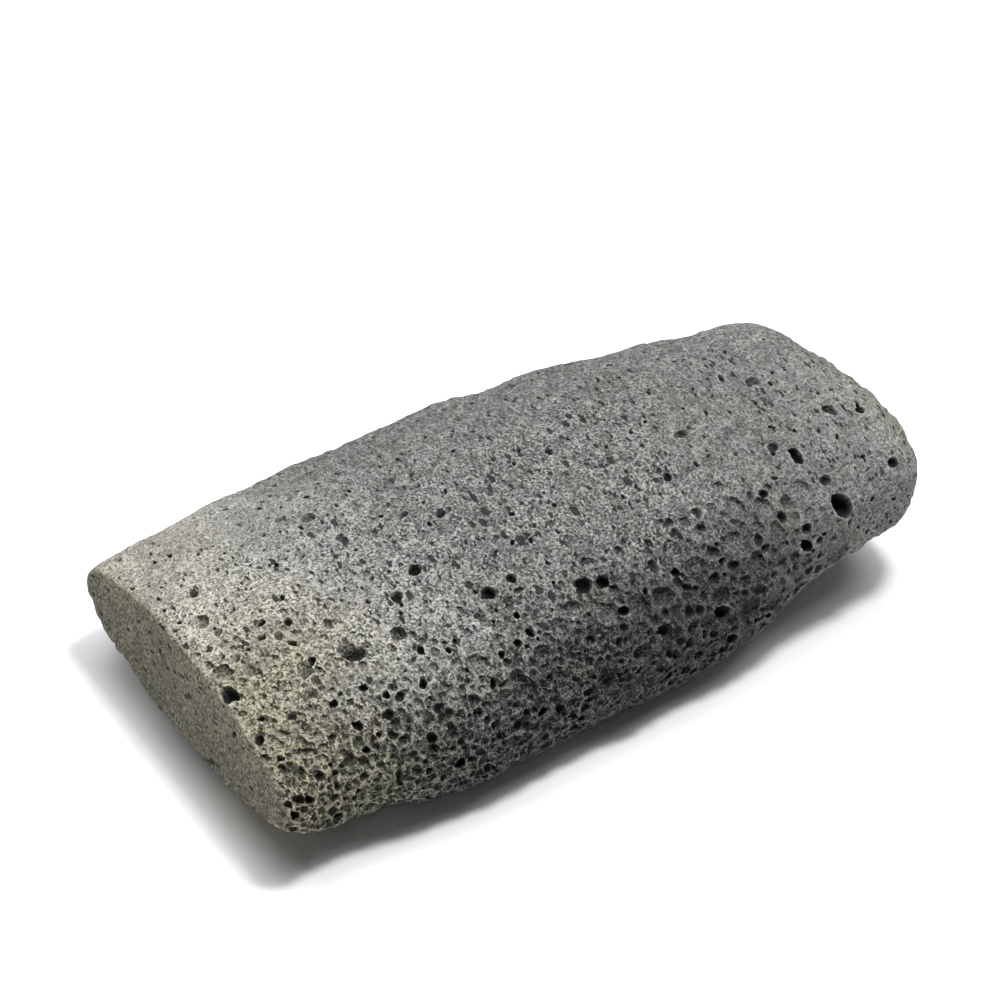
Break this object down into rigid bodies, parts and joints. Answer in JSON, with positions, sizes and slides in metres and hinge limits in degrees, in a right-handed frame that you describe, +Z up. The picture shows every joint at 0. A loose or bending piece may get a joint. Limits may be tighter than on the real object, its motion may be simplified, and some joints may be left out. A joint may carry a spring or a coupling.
{
  "type": "pumice stone",
  "caption": "Worn bar of grey foamed rock with open gas pits, sawn flat at one end and blunt at the other, for rubbing rough skin.",
  "frame": {"origin": "middle of the stone's box in X and Y, on the worn flat of its underside", "axes": "+X along the bar from the sawn end to the blunt end, +Z up from the worn underside, and -Y to the side that the picture shows"},
  "size_m": [0.1014, 0.058, 0.0255],
  "materials": {
    "pumice": "matte"
  },
  "bodies": {
    "root": {"pumice_stone": "pumice"}
  },
  "joints": []
}
